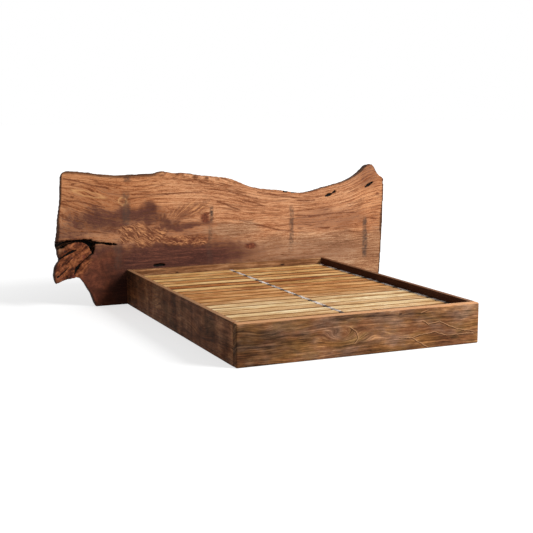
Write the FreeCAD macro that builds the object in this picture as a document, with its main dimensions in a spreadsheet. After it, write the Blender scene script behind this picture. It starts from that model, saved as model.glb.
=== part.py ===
import FreeCAD, Part
import math
import os

# A live edge bed: a natural slab headboard, four plain rails, and a slat roll on ledgers and a centre beam.
# X runs across the bed, Y towards the head, Z up. The origin is on the floor, under the middle of the bed.

# Driving dimensions, in millimetres unless they are counts.
DIMENSIONS = {
    # Rails
    "bed_length": 2125,
    "bed_width": 1613,
    "rail_height": 255,
    "side_rail_thickness": 32,
    "foot_rail_thickness": 55,
    "head_rail_thickness": 30,
    "rail_edge_round": 3,
    # Headboard slab
    "slab_width": 2692,
    "slab_height": 990,
    "slab_thickness": 65,
    "live_edge_bevel": 8,
    "crack_depth": 45,
    # Slat roll
    "slat_recess": 47,
    "slat_width": 82,
    "slat_thickness": 20,
    "slat_count": 19,
    "slat_end_gap": 11,
    "slat_side_gap": 4,
    "slat_edge_round": 3,
    "tape_width": 25,
    "tape_thickness": 1.6,
    "tape_inset": 2,
    "tack_diameter": 2,
    "tack_length": 14,
    "tack_head_diameter": 8,
    "tack_head_thickness": 0.8,
    # Inner framing
    "post_size": 50,
    "ledger_width": 30,
    "ledger_height": 40,
    "beam_width": 45,
    "beam_height": 90,
    "saddle_plate": 3,
    "saddle_depth": 45,
    "saddle_flange": 26,
    "saddle_cheek_drop": 25,
    "saddle_screw_low": 18,
    "saddle_screw_high": 52,
    # Centre legs and their levelling feet
    "leg_size": 45,
    "leg_count": 3,
    "leg_ground_gap": 25,
    "insert_diameter": 15,
    "insert_length": 25,
    "insert_flange_diameter": 22,
    "insert_flange_thickness": 2,
    "stud_diameter": 10,
    "stud_length": 50,
    "stud_running_clearance": 0.05,
    "stud_travel_up": 8,
    "stud_end_room": 3,
    "collar_across_flats": 17,
    "collar_thickness": 5,
    "pad_diameter": 40,
    "pad_rim_thickness": 4,
    "pad_thickness": 8,
    # Screws and bolts
    "screw_diameter": 6,
    "screw_head_diameter": 12,
    "screw_head_top_diameter": 9,
    "screw_head_thickness": 4,
    "screw_socket": 4,
    "screw_bite": 22,
    "ledger_screw_count": 6,
    "ledger_screw_margin": 90,
    "post_screw_low": 45,
    "post_screw_high": 115,
    "post_screw_stagger": 35,
    "leg_screw_bite": 25,
    "leg_screw_head_depth": 8,
    "bolt_diameter": 10,
    "bolt_across_flats": 17,
    "bolt_head_thickness": 6.5,
    "bolt_bite": 42,
    "bolt_low": 60,
    "bolt_high": 145,
    "bolt_column_inner": 250,
    "bolt_side_margin": 174.5,
    "washer_diameter": 26,
    "washer_thickness": 2,
    "hole_clearance": 0.1,
}

# Natural outline of the slab's face, as shares of half its width and of its height.
TOP_EDGE = [
    (-0.950, 0.955), (-0.945, 0.978), (-0.934, 0.992), (-0.900, 1.000), (-0.793, 0.983), (-0.735, 0.971),
    (-0.625, 0.961), (-0.497, 0.965), (-0.433, 0.970), (-0.411, 0.979), (-0.387, 0.982), (-0.342, 0.968),
    (-0.272, 0.966), (-0.225, 0.957), (-0.107, 0.935), (0.013, 0.910), (0.104, 0.860), (0.197, 0.827),
    (0.323, 0.809), (0.451, 0.783), (0.548, 0.801), (0.646, 0.832), (0.745, 0.864), (0.811, 0.904),
    (0.858, 0.950), (0.891, 0.988), (0.910, 0.994), (0.926, 0.983), (0.941, 0.956), (0.960, 0.912),
    (0.980, 0.893), (0.995, 0.879), (0.999, 0.850),
]
RIGHT_EDGE = [(0.999, 0.850), (1.000, 0.776), (0.998, 0.620), (0.991, 0.340), (0.982, 0.130), (0.976, 0.000)]
FLOOR_EDGE = [(0.976, 0.000), (-0.775, 0.000)]
NOTCH_EDGE = [
    (-0.775, 0.000), (-0.787, 0.034), (-0.797, 0.078), (-0.823, 0.139), (-0.852, 0.203), (-0.868, 0.220),
    (-0.905, 0.218), (-0.946, 0.207), (-0.973, 0.192), (-0.990, 0.182),
]
LEFT_EDGE = [
    (-0.990, 0.182), (-0.998, 0.210), (-1.000, 0.248), (-0.997, 0.285), (-0.987, 0.325), (-0.972, 0.358),
    (-0.979, 0.390), (-0.981, 0.430), (-0.986, 0.450), (-0.982, 0.525), (-0.971, 0.663), (-0.958, 0.773),
    (-0.953, 0.892), (-0.950, 0.955),
]

# The crack that opens in the left edge: its upper lip, then its lower lip back to the edge.
CRACK_UPPER_LIP = [
    (-1.015, 0.456), (-0.947, 0.489), (-0.900, 0.498), (-0.851, 0.496), (-0.811, 0.488), (-0.780, 0.468),
    (-0.726, 0.467), (-0.666, 0.450),
]
CRACK_LOWER_LIP = [
    (-0.666, 0.450), (-0.726, 0.458), (-0.775, 0.455), (-0.786, 0.441), (-0.792, 0.405), (-0.799, 0.420),
    (-0.811, 0.454), (-0.831, 0.474), (-0.855, 0.487), (-0.897, 0.486), (-0.931, 0.477), (-0.961, 0.455),
    (-1.015, 0.436),
]
CRACK_MOUTH = [(-1.015, 0.436), (-1.015, 0.456)]

# Places that several pieces share, as expressions on the sheet.
OVERALL_LENGTH = "(Dims.bed_length + Dims.slab_thickness)"
SLAB_BACK = f"({OVERALL_LENGTH} / 2)"
SLAB_FACE = f"({SLAB_BACK} - Dims.slab_thickness)"
HEAD_INSIDE = f"({SLAB_FACE} - Dims.head_rail_thickness)"
FOOT_FACE = f"(-{OVERALL_LENGTH} / 2)"
FOOT_INSIDE = f"({FOOT_FACE} + Dims.foot_rail_thickness)"
INNER_LENGTH = f"({HEAD_INSIDE} - {FOOT_INSIDE})"
INNER_WIDTH = "(Dims.bed_width - 2 * Dims.side_rail_thickness)"
SLAT_TOP = "(Dims.rail_height - Dims.slat_recess)"
SLAT_SEAT = f"({SLAT_TOP} - Dims.slat_thickness)"
SLAT_LENGTH = f"({INNER_WIDTH} - 2 * Dims.slat_side_gap)"
SLAT_SPAN = f"({INNER_LENGTH} - 2 * Dims.slat_end_gap - Dims.slat_width)"
SLAT_PITCH = f"({SLAT_SPAN} / (Dims.slat_count - 1))"
TAPE_OFFSET = f"({SLAT_LENGTH} / 2 - Dims.tape_inset - Dims.tape_width / 2)"
TAPE_TOP = f"({SLAT_TOP} + Dims.tape_thickness)"
BEAM_UNDERSIDE = f"({SLAT_SEAT} - Dims.beam_height)"
LEG_PITCH = f"({INNER_LENGTH} / (Dims.leg_count + 1))"

X_AXIS = FreeCAD.Vector(1, 0, 0)
Y_AXIS = FreeCAD.Vector(0, 1, 0)
Z_AXIS = FreeCAD.Vector(0, 0, 1)

doc = FreeCAD.newDocument("live_edge_bed")
dims = doc.addObject("Spreadsheet::Sheet", "Dims")
for row, (alias, size) in enumerate(DIMENSIONS.items(), start=1):
    dims.set(f"A{row}", alias)
    dims.set(f"B{row}", str(size))
    dims.setAlias(f"B{row}", alias)
doc.recompute()

sub_parts = []


def value(expression):
    """The number that an expression on the sheet gives now."""
    return float(dims.evalExpression(expression))


def size(alias):
    """One driving dimension."""
    return value(f"Dims.{alias}")


def sub_part(piece, label):
    """Give a finished piece its own name and list it."""
    piece.Label = label
    sub_parts.append(piece)
    return piece


def block(name, lengths, corner):
    """A squared block: its three lengths and its lowest corner are expressions."""
    piece = doc.addObject("Part::Box", name)
    for side, length in zip(("Length", "Width", "Height"), lengths):
        piece.setExpression(side, length)
    for axis, place in zip("xyz", corner):
        piece.setExpression(f"Placement.Base.{axis}", place)
    doc.recompute()
    return piece


def eased(blank, radius):
    """The blank with its longest edges rounded."""
    longest = max(edge.Length for edge in blank.Shape.Edges)
    piece = doc.addObject("Part::Fillet", blank.Name + "_eased")
    piece.Base = blank
    piece.Edges = [
        (number, radius, radius)
        for number, edge in enumerate(blank.Shape.Edges, start=1)
        if math.isclose(edge.Length, longest)
    ]
    return piece


def solids(name, shapes):
    """A group of separate solids as one object."""
    group = doc.addObject("Part::Feature", name)
    group.Shape = Part.makeCompound(shapes)
    return group


def drilled(blank, holes):
    """The blank with the given holes taken out of it."""
    piece = doc.addObject("Part::Cut", blank.Name + "_drilled")
    piece.Base = blank
    piece.Tool = solids(blank.Name + "_holes", holes)
    return piece


def aimed(shape, point, direction):
    """A copy of a shape made along +Z, moved to a point and turned to a direction."""
    copy = shape.copy()
    copy.Placement = FreeCAD.Placement(point, FreeCAD.Rotation(Z_AXIS, direction))
    return copy


def hole(point, direction, diameter, depth):
    """A round hole with the usual clearance around its pin."""
    radius = diameter / 2 + size("hole_clearance")
    return Part.makeCylinder(radius, depth, point, direction)


def hexagon_prism(across_flats, thickness):
    """A hexagonal prism on the floor plane."""
    radius = across_flats / math.sqrt(3)
    corners = [
        FreeCAD.Vector(radius * math.cos(math.pi * step / 3), radius * math.sin(math.pi * step / 3), 0)
        for step in range(7)
    ]
    return Part.Face(Part.makePolygon(corners)).extrude(Z_AXIS * thickness)


def screw(length):
    """A pan head screw with a hexagon socket: its head seats on the floor plane and its shank points up."""
    head_thickness = size("screw_head_thickness")
    socket = hexagon_prism(size("screw_socket"), head_thickness / 2)
    top_radius = size("screw_head_top_diameter") / 2
    head = Part.makeCone(top_radius, size("screw_head_diameter") / 2, head_thickness).cut(socket)
    head.translate(-Z_AXIS * head_thickness)
    return head.fuse(Part.makeCylinder(size("screw_diameter") / 2, length)).removeSplitter()


def spline_sketch(body, name, outline, scale):
    """A closed sketch on the body's upright plane: smooth runs through shares of the slab's size."""
    sketch = body.newObject("Sketcher::SketchObject", name)
    upright = [plane for plane in body.Origin.OriginFeatures if plane.Role == "XZ_Plane"][0]
    sketch.AttachmentSupport = [(upright, "")]
    sketch.MapMode = "FlatFace"
    half_width = size("slab_width") / 2 * scale[0]
    height = size("slab_height") * scale[1]
    for run in outline:
        points = [FreeCAD.Vector(across * half_width, up * height, 0) for across, up in run]
        if len(points) == 2:
            sketch.addGeometry(Part.LineSegment(*points), False)
            continue
        curve = Part.BSplineCurve()
        curve.interpolate(points)
        sketch.addGeometry(curve, False)
    return sketch


# Places of the fasteners: each is a point on the face where the head seats and the way that the shank goes.
def post_places():
    """Corner posts as (name, side, end): side is -1 left or 1 right, end is 1 head or -1 foot."""
    return [
        (f"{end_name}_{side_name}_corner_post", side, end)
        for end_name, end in (("head", 1), ("foot", -1))
        for side_name, side in (("left", -1), ("right", 1))
    ]


def post_screw_places(side, end):
    """Two screws out to the side rail and two to the end rail, staggered so that they pass each other."""
    post = size("post_size")
    wall_x = side * value(INNER_WIDTH) / 2
    wall_y = value(HEAD_INSIDE) if end > 0 else value(FOOT_INSIDE)
    places = []
    for height in (size("post_screw_low"), size("post_screw_high")):
        raised = height + size("post_screw_stagger")
        outer = FreeCAD.Vector(wall_x - side * post, wall_y - end * post / 2, raised)
        places.append((outer, X_AXIS * side))
        along = FreeCAD.Vector(wall_x - side * post / 2, wall_y - end * post, height)
        places.append((along, Y_AXIS * end))
    return places


def ledger_screw_places(side):
    """An even row of screws through one ledger into its side rail."""
    count = int(size("ledger_screw_count"))
    margin = size("post_size") + size("ledger_screw_margin")
    first = value(FOOT_INSIDE) + margin
    pitch = (value(INNER_LENGTH) - 2 * margin) / (count - 1)
    inner_face = side * (value(INNER_WIDTH) / 2 - size("ledger_width"))
    height = value(SLAT_SEAT) - size("ledger_height") / 2
    points = [FreeCAD.Vector(inner_face, first + step * pitch, height) for step in range(count)]
    return [(point, X_AXIS * side) for point in points]


def saddle_screw_places(end):
    """Four screws through the flanges of one beam saddle."""
    across = size("beam_width") / 2 + size("saddle_plate") + size("saddle_flange") / 2
    plate = size("saddle_plate")
    wall_y = value(HEAD_INSIDE) if end > 0 else value(FOOT_INSIDE)
    return [
        (FreeCAD.Vector(side * across, wall_y - end * plate, value(BEAM_UNDERSIDE) + rise), Y_AXIS * end)
        for side in (-1, 1)
        for rise in (size("saddle_screw_low"), size("saddle_screw_high"))
    ]


def bolt_places():
    """Bolts through the head rail into the slab, on the rail's inner face."""
    outer_column = value(INNER_WIDTH) / 2 - size("bolt_side_margin")
    return [
        (FreeCAD.Vector(side * column, value(HEAD_INSIDE), height), Y_AXIS)
        for side in (-1, 1)
        for column in (size("bolt_column_inner"), outer_column)
        for height in (size("bolt_low"), size("bolt_high"))
    ]


def leg_centres():
    """Where the centre legs stand along the bed."""
    return [value(FOOT_INSIDE) + (step + 1) * value(LEG_PITCH) for step in range(int(size("leg_count")))]


def screw_holes(places, length):
    return [hole(point, direction, size("screw_diameter"), length) for point, direction in places]


SCREW_BITE = size("screw_bite")
POST_SCREW = size("post_size") + SCREW_BITE
LEDGER_SCREW = size("ledger_width") + SCREW_BITE
SADDLE_SCREW = size("saddle_plate") + SCREW_BITE
BOLT_LENGTH = size("head_rail_thickness") + size("bolt_bite")


def end_rail_holes(end):
    """Holes that the posts' and the saddle's screws make in the head or foot rail."""
    holes = []
    for name, side, post_end in post_places():
        if post_end == end:
            along = [place for place in post_screw_places(side, end) if place[1] == Y_AXIS * end]
            holes += screw_holes(along, POST_SCREW)
    return holes + screw_holes(saddle_screw_places(end), SADDLE_SCREW)


# Headboard slab: one thick board whose back is a little smaller than its face, with a crack at its left edge.
def headboard():
    outline = [TOP_EDGE, RIGHT_EDGE, FLOOR_EDGE, NOTCH_EDGE, LEFT_EDGE]
    slope = size("live_edge_bevel")
    back_scale = (1 - slope / (size("slab_width") / 2), 1 - slope / size("slab_height"))
    body = doc.addObject("PartDesign::Body", "headboard_blank")
    back = spline_sketch(body, "slab_back", outline, back_scale)
    face = spline_sketch(body, "slab_face", outline, (1, 1))
    face.setExpression("AttachmentOffset.Base.z", "Dims.slab_thickness")
    board = body.newObject("PartDesign::AdditiveLoft", "slab_board")
    board.Profile = back
    board.Sections = [face]
    board.Ruled = True
    lips = spline_sketch(body, "crack_lips", [CRACK_UPPER_LIP, CRACK_LOWER_LIP, CRACK_MOUTH], (1, 1))
    lips.setExpression("AttachmentOffset.Base.z", "Dims.slab_thickness")
    crack = body.newObject("PartDesign::Pocket", "crack")
    crack.Profile = lips
    crack.setExpression("Length", "Dims.crack_depth")
    body.setExpression("Placement.Base.y", SLAB_BACK)
    doc.recompute()
    holes = [hole(point, way, size("bolt_diameter"), BOLT_LENGTH) for point, way in bolt_places()]
    sub_part(drilled(body, holes), "headboard_slab")


def side_rail(side_name, side):
    corner_x = f"{side} * (Dims.bed_width - Dims.side_rail_thickness) / 2 - Dims.side_rail_thickness / 2"
    lengths = ("Dims.side_rail_thickness", f"{SLAB_FACE} - {FOOT_INSIDE}", "Dims.rail_height")
    blank = block(f"{side_name}_side_rail_blank", lengths, (corner_x, FOOT_INSIDE, "0"))
    holes = screw_holes(ledger_screw_places(side), LEDGER_SCREW)
    for name, post_side, end in post_places():
        if post_side == side:
            outward = [place for place in post_screw_places(side, end) if place[1] == X_AXIS * side]
            holes += screw_holes(outward, POST_SCREW)
    sub_part(drilled(eased(blank, size("rail_edge_round")), holes), f"{side_name}_side_rail")


def foot_rail():
    lengths = ("Dims.bed_width", "Dims.foot_rail_thickness", "Dims.rail_height")
    blank = block("foot_rail_blank", lengths, ("-Dims.bed_width / 2", FOOT_FACE, "0"))
    sub_part(drilled(eased(blank, size("rail_edge_round")), end_rail_holes(-1)), "foot_rail")


def head_rail():
    lengths = (INNER_WIDTH, "Dims.head_rail_thickness", "Dims.rail_height")
    blank = block("head_rail_blank", lengths, (f"-{INNER_WIDTH} / 2", HEAD_INSIDE, "0"))
    holes = [hole(point, way, size("bolt_diameter"), BOLT_LENGTH) for point, way in bolt_places()]
    sub_part(drilled(eased(blank, size("rail_edge_round")), holes + end_rail_holes(1)), "head_rail")


def corner_posts():
    for label, side, end in post_places():
        corner_x = f"{side} * ({INNER_WIDTH} - Dims.post_size) / 2 - Dims.post_size / 2"
        corner_y = f"{HEAD_INSIDE} - Dims.post_size" if end > 0 else FOOT_INSIDE
        lengths = ("Dims.post_size", "Dims.post_size", SLAT_SEAT)
        blank = block(f"{label}_blank", lengths, (corner_x, corner_y, "0"))
        sub_part(drilled(blank, screw_holes(post_screw_places(side, end), POST_SCREW)), label)


def ledger(side_name, side):
    corner_x = f"{side} * ({INNER_WIDTH} - Dims.ledger_width) / 2 - Dims.ledger_width / 2"
    corner = (corner_x, f"{FOOT_INSIDE} + Dims.post_size", f"{SLAT_SEAT} - Dims.ledger_height")
    lengths = ("Dims.ledger_width", f"{INNER_LENGTH} - 2 * Dims.post_size", "Dims.ledger_height")
    blank = block(f"{side_name}_ledger_blank", lengths, corner)
    sub_part(drilled(blank, screw_holes(ledger_screw_places(side), LEDGER_SCREW)), f"{side_name}_slat_ledger")


# Centre beam: it lies in two steel saddles and is screwed down to its legs through counterbored holes.
def leg_screw_places():
    seat = value(SLAT_SEAT) - size("leg_screw_head_depth")
    return [(FreeCAD.Vector(0, centre, seat), -Z_AXIS) for centre in leg_centres()]


def leg_screw_length():
    return size("beam_height") - size("leg_screw_head_depth") + size("leg_screw_bite")


def centre_beam():
    lengths = ("Dims.beam_width", f"{INNER_LENGTH} - 2 * Dims.saddle_plate", "Dims.beam_height")
    corner = ("-Dims.beam_width / 2", f"{FOOT_INSIDE} + Dims.saddle_plate", BEAM_UNDERSIDE)
    blank = block("centre_beam_blank", lengths, corner)
    places = leg_screw_places()
    head_room = size("leg_screw_head_depth")
    bores = [hole(point, Z_AXIS, size("screw_head_diameter"), head_room) for point, way in places]
    sub_part(drilled(blank, screw_holes(places, leg_screw_length()) + bores), "centre_beam")


def beam_saddle(end_name, end):
    plate = "Dims.saddle_plate"
    wide = f"(Dims.beam_width + 2 * {plate})"
    wall = HEAD_INSIDE if end > 0 else FOOT_INSIDE
    flange_width = f"({wide} + 2 * Dims.saddle_flange)"
    floor = f"{BEAM_UNDERSIDE} - {plate}"
    cheek_height = f"Dims.beam_height + {plate} - Dims.saddle_cheek_drop"
    flange_y = f"{wall} - {plate}" if end > 0 else wall
    cup_y = f"{wall} - Dims.saddle_depth" if end > 0 else wall
    beam_y = cup_y if end > 0 else f"{wall} + {plate}"
    name = f"{end_name}_beam_saddle"
    flange_lengths = (flange_width, plate, cheek_height)
    flange = block(f"{name}_flange", flange_lengths, (f"-{flange_width} / 2", flange_y, floor))
    cup_lengths = (wide, "Dims.saddle_depth", cheek_height)
    cup = block(f"{name}_cup", cup_lengths, (f"-{wide} / 2", cup_y, floor))
    bed_lengths = ("Dims.beam_width", f"Dims.saddle_depth - {plate}", "Dims.beam_height")
    channel = block(f"{name}_channel", bed_lengths, ("-Dims.beam_width / 2", beam_y, BEAM_UNDERSIDE))
    bent = doc.addObject("Part::Fuse", f"{name}_bent")
    bent.Base = flange
    bent.Tool = cup
    opened = doc.addObject("Part::Cut", f"{name}_opened")
    opened.Base = bent
    opened.Tool = channel
    sub_part(drilled(opened, screw_holes(saddle_screw_places(end), SADDLE_SCREW)), name)


def centre_legs():
    stud_top = size("pad_thickness") + size("stud_length")
    stud_hole_depth = stud_top + size("stud_travel_up") + size("stud_end_room") - size("leg_ground_gap")
    for number, centre in enumerate(leg_centres(), start=1):
        near_face = f"{FOOT_INSIDE} + {number} * {LEG_PITCH} - Dims.leg_size / 2"
        corner = ("-Dims.leg_size / 2", near_face, "Dims.leg_ground_gap")
        lengths = ("Dims.leg_size", "Dims.leg_size", f"{BEAM_UNDERSIDE} - Dims.leg_ground_gap")
        blank = block(f"centre_leg_{number}_blank", lengths, corner)
        foot = FreeCAD.Vector(0, centre, size("leg_ground_gap"))
        holes = [
            hole(foot, Z_AXIS, size("insert_diameter"), size("insert_length")),
            hole(foot, Z_AXIS, size("stud_diameter") + 2 * size("stud_end_room"), stud_hole_depth),
        ]
        holes += screw_holes([leg_screw_places()[number - 1]], leg_screw_length())
        sub_part(drilled(blank, holes), f"centre_leg_{number}")


# Levelling feet: a threaded insert in each leg, a stud with a hexagon collar, and a round pad on the floor.
def leg_inserts():
    flange_thickness = size("insert_flange_thickness")
    whole_length = size("insert_length") + flange_thickness
    bore = size("stud_diameter") / 2 + size("stud_running_clearance")
    shapes = []
    for centre in leg_centres():
        below = FreeCAD.Vector(0, centre, size("leg_ground_gap") - flange_thickness)
        barrel = Part.makeCylinder(size("insert_diameter") / 2, whole_length, below)
        flange = Part.makeCylinder(size("insert_flange_diameter") / 2, flange_thickness, below)
        through = Part.makeCylinder(bore, whole_length, below)
        shapes.append(barrel.fuse(flange).cut(through).removeSplitter())
    sub_part(solids("leg_insert_group", shapes), "leg_inserts")


def levelling_feet():
    for number, centre in enumerate(leg_centres(), start=1):
        place = FreeCAD.Vector(0, centre, 0)
        rim = Part.makeCylinder(size("pad_diameter") / 2, size("pad_rim_thickness"))
        crown_height = size("pad_thickness") - size("pad_rim_thickness")
        crown = Part.makeCone(size("pad_diameter") / 2, size("collar_across_flats") / 2, crown_height)
        crown.translate(Z_AXIS * size("pad_rim_thickness"))
        pad = doc.addObject("Part::Feature", f"pad_{number}")
        pad.Shape = rim.fuse(crown).removeSplitter()
        pad.Placement = FreeCAD.Placement(place, FreeCAD.Rotation())
        sub_part(pad, f"levelling_pad_{number}")
        collar = hexagon_prism(size("collar_across_flats"), size("collar_thickness"))
        stud = doc.addObject("Part::Feature", f"stud_{number}")
        shank = Part.makeCylinder(size("stud_diameter") / 2, size("stud_length"))
        stud.Shape = collar.fuse(shank).removeSplitter()
        stud.Placement = FreeCAD.Placement(place + Z_AXIS * size("pad_thickness"), FreeCAD.Rotation())
        sub_part(stud, f"levelling_stud_{number}")


# Slat roll: equal slats held at one spacing by three tapes, each tape tacked to every slat.
def tack_points():
    half = size("slat_width") / 2
    first = value(HEAD_INSIDE) - size("slat_end_gap") - half
    return [
        FreeCAD.Vector(column, first - step * value(SLAT_PITCH), value(TAPE_TOP))
        for step in range(int(size("slat_count")))
        for column in (-value(TAPE_OFFSET), 0, value(TAPE_OFFSET))
    ]


def tack_holes(points):
    return [hole(point, -Z_AXIS, size("tack_diameter"), size("tack_length")) for point in points]


def slats():
    lengths = (SLAT_LENGTH, "Dims.slat_width", "Dims.slat_thickness")
    points = tack_points()
    for step in range(int(size("slat_count"))):
        near_edge = f"{HEAD_INSIDE} - Dims.slat_end_gap - Dims.slat_width - {step} * {SLAT_PITCH}"
        number = f"{step + 1:02d}"
        blank = block(f"slat_{number}_blank", lengths, (f"-{SLAT_LENGTH} / 2", near_edge, SLAT_SEAT))
        holes = tack_holes(points[3 * step:3 * step + 3])
        sub_part(drilled(eased(blank, size("slat_edge_round")), holes), f"slat_{number}")


def tapes():
    lengths = ("Dims.tape_width", f"{INNER_LENGTH} - 2 * Dims.slat_end_gap", "Dims.tape_thickness")
    tape_start = f"{FOOT_INSIDE} + Dims.slat_end_gap"
    for column, (side_name, side) in enumerate((("left", -1), ("centre", 0), ("right", 1))):
        corner_x = f"{side} * {TAPE_OFFSET} - Dims.tape_width / 2"
        blank = block(f"{side_name}_tape_blank", lengths, (corner_x, tape_start, SLAT_TOP))
        sub_part(drilled(blank, tack_holes(tack_points()[column::3])), f"{side_name}_tape")


def tape_tacks():
    head = Part.makeCylinder(size("tack_head_diameter") / 2, size("tack_head_thickness"))
    head.translate(-Z_AXIS * size("tack_head_thickness"))
    tack = head.fuse(Part.makeCylinder(size("tack_diameter") / 2, size("tack_length"))).removeSplitter()
    tacks = [aimed(tack, point, -Z_AXIS) for point in tack_points()]
    sub_part(solids("tape_tack_group", tacks), "tape_tacks")


# Screws and bolts that hold the frame together.
def screw_groups():
    posts = [place for label, side, end in post_places() for place in post_screw_places(side, end)]
    groups = {
        "corner_screws": (posts, POST_SCREW),
        "ledger_screws": (ledger_screw_places(-1) + ledger_screw_places(1), LEDGER_SCREW),
        "saddle_screws": (saddle_screw_places(-1) + saddle_screw_places(1), SADDLE_SCREW),
        "leg_screws": (leg_screw_places(), leg_screw_length()),
    }
    for label, (places, length) in groups.items():
        shapes = [aimed(screw(length), point, way) for point, way in places]
        sub_part(solids(f"{label}_group", shapes), label)


def headboard_bolts():
    thickness = size("washer_thickness")
    shank = Part.makeCylinder(size("bolt_diameter") / 2, BOLT_LENGTH + thickness)
    head = hexagon_prism(size("bolt_across_flats"), size("bolt_head_thickness"))
    head.translate(-Z_AXIS * size("bolt_head_thickness"))
    bolt = head.fuse(shank).removeSplitter()
    bolts = [aimed(bolt, point - way * thickness, way) for point, way in bolt_places()]
    sub_part(solids("headboard_bolt_group", bolts), "headboard_bolts")
    ring = Part.makeCylinder(size("washer_diameter") / 2, thickness)
    ring = ring.cut(Part.makeCylinder(size("bolt_diameter") / 2 + size("hole_clearance"), thickness))
    washers = [aimed(ring, point - way * thickness, way) for point, way in bolt_places()]
    sub_part(solids("headboard_washer_group", washers), "headboard_washers")


headboard()
for rail_name, rail_side in (("left", -1), ("right", 1)):
    side_rail(rail_name, rail_side)
    ledger(rail_name, rail_side)
foot_rail()
head_rail()
corner_posts()
centre_beam()
beam_saddle("head", 1)
beam_saddle("foot", -1)
centre_legs()
leg_inserts()
levelling_feet()
slats()
tapes()
tape_tacks()
screw_groups()
headboard_bolts()
doc.recompute()

for thing in doc.Objects:
    if "Invalid" in thing.State or "Error" in thing.State:
        raise RuntimeError(f"{thing.Label} did not build: {thing.State}")
for piece in sub_parts:
    if piece.Shape.isNull() or not piece.Shape.isValid() or not piece.Shape.Solids:
        raise RuntimeError(f"{piece.Label} has no valid solid")

os.makedirs("parts", exist_ok=True)
for piece in sub_parts:
    piece.Shape.exportStep(os.path.join("parts", f"{piece.Label}.step"))
    box = piece.Shape.BoundBox
    print(
        f"{piece.Label}: {len(piece.Shape.Solids)} solid(s), {piece.Shape.Volume / 1000:.1f} cm3,"
        f" X {box.XMin:.1f} {box.XMax:.1f}, Y {box.YMin:.1f} {box.YMax:.1f}, Z {box.ZMin:.1f} {box.ZMax:.1f}"
    )
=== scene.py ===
import math

import bmesh
import bpy
import numpy as np
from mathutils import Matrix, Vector

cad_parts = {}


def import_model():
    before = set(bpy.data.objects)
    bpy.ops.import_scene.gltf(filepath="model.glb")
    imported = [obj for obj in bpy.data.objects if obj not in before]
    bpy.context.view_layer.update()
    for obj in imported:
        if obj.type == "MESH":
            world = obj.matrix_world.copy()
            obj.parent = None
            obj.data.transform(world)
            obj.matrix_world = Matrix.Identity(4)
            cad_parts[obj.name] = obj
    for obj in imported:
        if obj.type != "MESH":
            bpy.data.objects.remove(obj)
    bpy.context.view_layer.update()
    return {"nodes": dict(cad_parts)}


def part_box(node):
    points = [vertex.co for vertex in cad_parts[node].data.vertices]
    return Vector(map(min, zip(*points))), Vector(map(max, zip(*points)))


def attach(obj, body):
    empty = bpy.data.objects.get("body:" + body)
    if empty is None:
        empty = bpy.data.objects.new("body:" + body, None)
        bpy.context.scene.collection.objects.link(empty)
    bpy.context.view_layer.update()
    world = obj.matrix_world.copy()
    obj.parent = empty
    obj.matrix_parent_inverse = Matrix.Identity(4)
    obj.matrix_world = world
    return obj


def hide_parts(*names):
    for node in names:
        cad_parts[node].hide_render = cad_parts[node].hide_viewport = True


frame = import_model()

# A live edge bed on a white studio floor. Lengths are in metres, in the bed's own frame:
# X across the bed, Y towards the headboard, Z up.

NODES = frame["nodes"]
SLAB_LOW, SLAB_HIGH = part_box("headboard_slab")
SLAT_NAMES = sorted(name for name in NODES if name.startswith("slat_"))
STEEL_NODES = ["corner_screws", "ledger_screws", "saddle_screws", "leg_screws", "headboard_bolts",
               "headboard_washers", "leg_inserts"]


def srgb(red, green, blue):
    """A linear colour from the usual 0 to 255 values."""
    channels = []
    for level in (red, green, blue):
        share = level / 255
        channels.append(share / 12.92 if share <= 0.04045 else ((share + 0.055) / 1.055) ** 2.4)
    return (*channels, 1.0)


def smooth(values, low, high):
    """0 below low, 1 above high, and an even curve between them."""
    share = np.clip((values - low) / (high - low), 0, 1)
    return share * share * (3 - 2 * share)


def ripple(points, wavelength, seed, waves=14):
    """An irregular smooth field from -1 to 1 over points, with bumps about one wavelength apart."""
    draw = np.random.default_rng(seed)
    directions = draw.normal(size=(waves, points.shape[1]))
    directions /= np.linalg.norm(directions, axis=1, keepdims=True)
    pitches = 2 * math.pi / (wavelength * draw.uniform(0.6, 1.6, waves))
    phases = draw.uniform(0, 2 * math.pi, waves)
    field = np.sin(points @ (directions * pitches[:, None]).T + phases).sum(axis=1)
    return np.clip(field / math.sqrt(waves), -1.6, 1.6) / 1.6


def ripples(points, layers):
    """The sum of several ripples, each given as (height, wavelength, seed)."""
    return sum(height * ripple(points, wavelength, seed) for height, wavelength, seed in layers)


def placed(name, data):
    """A new object in the scene."""
    made = bpy.data.objects.new(name, data)
    bpy.context.scene.collection.objects.link(made)
    return made


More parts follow.
